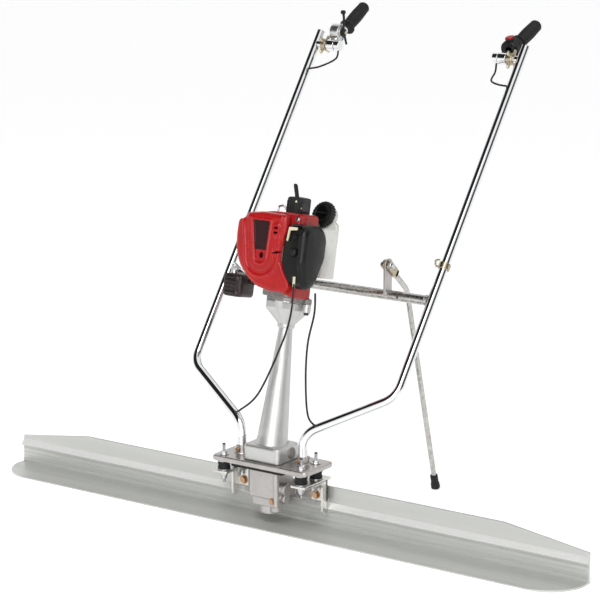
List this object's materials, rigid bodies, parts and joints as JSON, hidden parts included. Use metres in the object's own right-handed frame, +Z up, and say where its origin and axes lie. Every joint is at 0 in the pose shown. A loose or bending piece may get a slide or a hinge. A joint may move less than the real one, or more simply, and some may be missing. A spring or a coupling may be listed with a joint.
{
  "type": "power screed",
  "caption": "Vibrating screed: an aluminium blade under an exciter and rubber-mounted plate, a leaning column with a petrol engine, bent twin handles and a fold-down stand.",
  "frame": {"origin": "on the floor, on the underside of the blade's sole, below the foot of the column and midway along the blade", "axes": "+X along the blade, +Y towards the operator, +Z up"},
  "size_m": [1.5, 0.7725, 1.0596],
  "materials": {
    "blade_aluminium": "mill finish, brushed lengthwise",
    "cast_aluminium": "satin casting",
    "zinc_plate": "zinc plated",
    "chrome": "polished",
    "steel": "bright zinc plated",
    "dark_steel": "black oxide",
    "yellow_zinc": "yellow zinc plated",
    "rubber": "matt black",
    "red_plastic": "gloss red",
    "black_plastic": "matt black",
    "grey_plastic": "dark grey",
    "tank_plastic": "translucent white",
    "cream_plastic": "cream",
    "muffler_enamel": "heat-darkened enamel"
  },
  "bodies": {
    "frame": {"air_cleaner_cover": "black_plastic", "base_plate": "zinc_plate", "cable_clip": "yellow_zinc", "carburettor": "black_plastic", "clutch_housing": "cast_aluminium", "column": "cast_aluminium", "crankcase": "cast_aluminium", "crossbar": "chrome", "drive_bearing": "steel", "engine_cover": "red_plastic", "exciter_bearing_lower": "steel", "exciter_bearing_upper": "steel", "exciter_housing": "cast_aluminium", "front_left_buffer": "rubber", "front_left_stud": "steel", "front_right_buffer": "rubber", "front_right_stud": "steel", "fuel_tank": "tank_plastic", "left_blade_bracket": "steel", "left_bracket_bolt": "yellow_zinc", "left_handle_tube": "chrome", "left_housing_bolt": "dark_steel", "left_tube_bolt": "dark_steel", "muffler": "muffler_enamel", "rear_left_buffer": "rubber", "rear_left_stud": "steel", "rear_right_buffer": "rubber", "rear_right_stud": "steel", "recoil_housing": "grey_plastic", "right_blade_bracket": "steel", "right_bracket_bolt": "yellow_zinc", "right_handle_tube": "chrome", "right_housing_bolt": "dark_steel", "right_tube_bolt": "dark_steel", "screed_blade": "blade_aluminium", "stand_bolt": "steel", "stop_wire": "rubber", "throttle_cable": "rubber"},
    "eccentric": {"eccentric_shaft": "steel"},
    "drive": {"drive_shaft": "steel", "flexible_coupling": "rubber", "clutch_drum": "steel"},
    "crank": {"crankshaft": "steel", "clutch_rotor": "dark_steel"},
    "starter": {"starter_grip": "black_plastic"},
    "choke": {"choke_lever": "cream_plastic"},
    "primer": {"primer_bulb": "rubber"},
    "filler_cap": {"fuel_cap": "black_plastic"},
    "left_arm": {"left_grip_arm": "chrome", "left_grip": "rubber", "throttle_body": "steel"},
    "right_arm": {"right_grip_arm": "chrome", "right_grip": "rubber", "switch_body": "black_plastic"},
    "throttle": {"throttle_lever": "black_plastic"},
    "stop": {"stop_button": "red_plastic"},
    "left_nut": {"left_wing_nut": "yellow_zinc"},
    "right_nut": {"right_wing_nut": "yellow_zinc"},
    "stand": {"stand_leg": "zinc_plate", "stand_foot": "rubber"}
  },
  "joints": [
    {"name": "crank_spin", "type": "hinge", "parent": "frame", "child": "crank", "pos_m": [0, 0.07901, 0.5517], "axis": [0, 0.2079, 0.9781], "continuous": true},
    {"name": "drive_spin", "type": "hinge", "parent": "frame", "child": "drive", "pos_m": [0, 0.03119, 0.32672], "axis": [0, 0.2079, 0.9781], "continuous": true},
    {"name": "eccentric_spin", "type": "hinge", "parent": "frame", "child": "eccentric", "pos_m": [0, -0.0064, 0.085], "axis": [0, 0, 1], "continuous": true},
    {"name": "starter_pull", "type": "slide", "parent": "frame", "child": "starter", "axis": [0, -0.9781, 0.2079], "range_m": [0, 0.45], "stiffness_N_per_m": 40, "springref_m": -0.1},
    {"name": "choke_swing", "type": "hinge", "parent": "frame", "child": "choke", "pos_m": [0.05, 0.01783, 0.63422], "axis": [0, -0.9781, 0.2079], "range_deg": [0, 60]},
    {"name": "primer_press", "type": "slide", "parent": "frame", "child": "primer", "axis": [0, 0.9781, -0.2079], "range_m": [0, 0.005], "stiffness_N_per_m": 1200},
    {"name": "cap_turn", "type": "hinge", "parent": "frame", "child": "filler_cap", "pos_m": [0.022, 0.18879, 0.64491], "axis": [-0.0999, -0.8658, 0.4903], "continuous": true},
    {"name": "left_arm_swing", "type": "hinge", "parent": "frame", "child": "left_arm", "pos_m": [-0.23, 0.5629, 0.97], "axis": [1, 0, 0], "range_deg": [-35, 35]},
    {"name": "right_arm_swing", "type": "hinge", "parent": "frame", "child": "right_arm", "pos_m": [0.23, 0.5629, 0.97], "axis": [1, 0, 0], "range_deg": [-35, 35]},
    {"name": "throttle_swing", "type": "hinge", "parent": "left_arm", "child": "throttle", "pos_m": [-0.23, 0.58721, 0.99789], "axis": [1, 0, 0], "range_deg": [0, 50]},
    {"name": "stop_press", "type": "slide", "parent": "right_arm", "child": "stop", "axis": [0, 0.3907, -0.9205], "range_m": [0, 0.003], "stiffness_N_per_m": 1500},
    {"name": "left_nut_turn", "type": "hinge", "parent": "frame", "child": "left_nut", "pos_m": [-0.25, 0.5629, 0.97], "axis": [1, 0, 0], "range_deg": [-180, 180]},
    {"name": "right_nut_turn", "type": "hinge", "parent": "frame", "child": "right_nut", "pos_m": [0.25, 0.5629, 0.97], "axis": [1, 0, 0], "range_deg": [-180, 180]},
    {"name": "stand_fold", "type": "hinge", "parent": "frame", "child": "stand", "pos_m": [0.157, 0.21006, 0.554], "axis": [1, 0, 0], "range_deg": [0, 118]}
  ],
  "couplings": [
    {"joint": "eccentric_spin", "follows": "drive_spin", "ratio": 1}
  ]
}
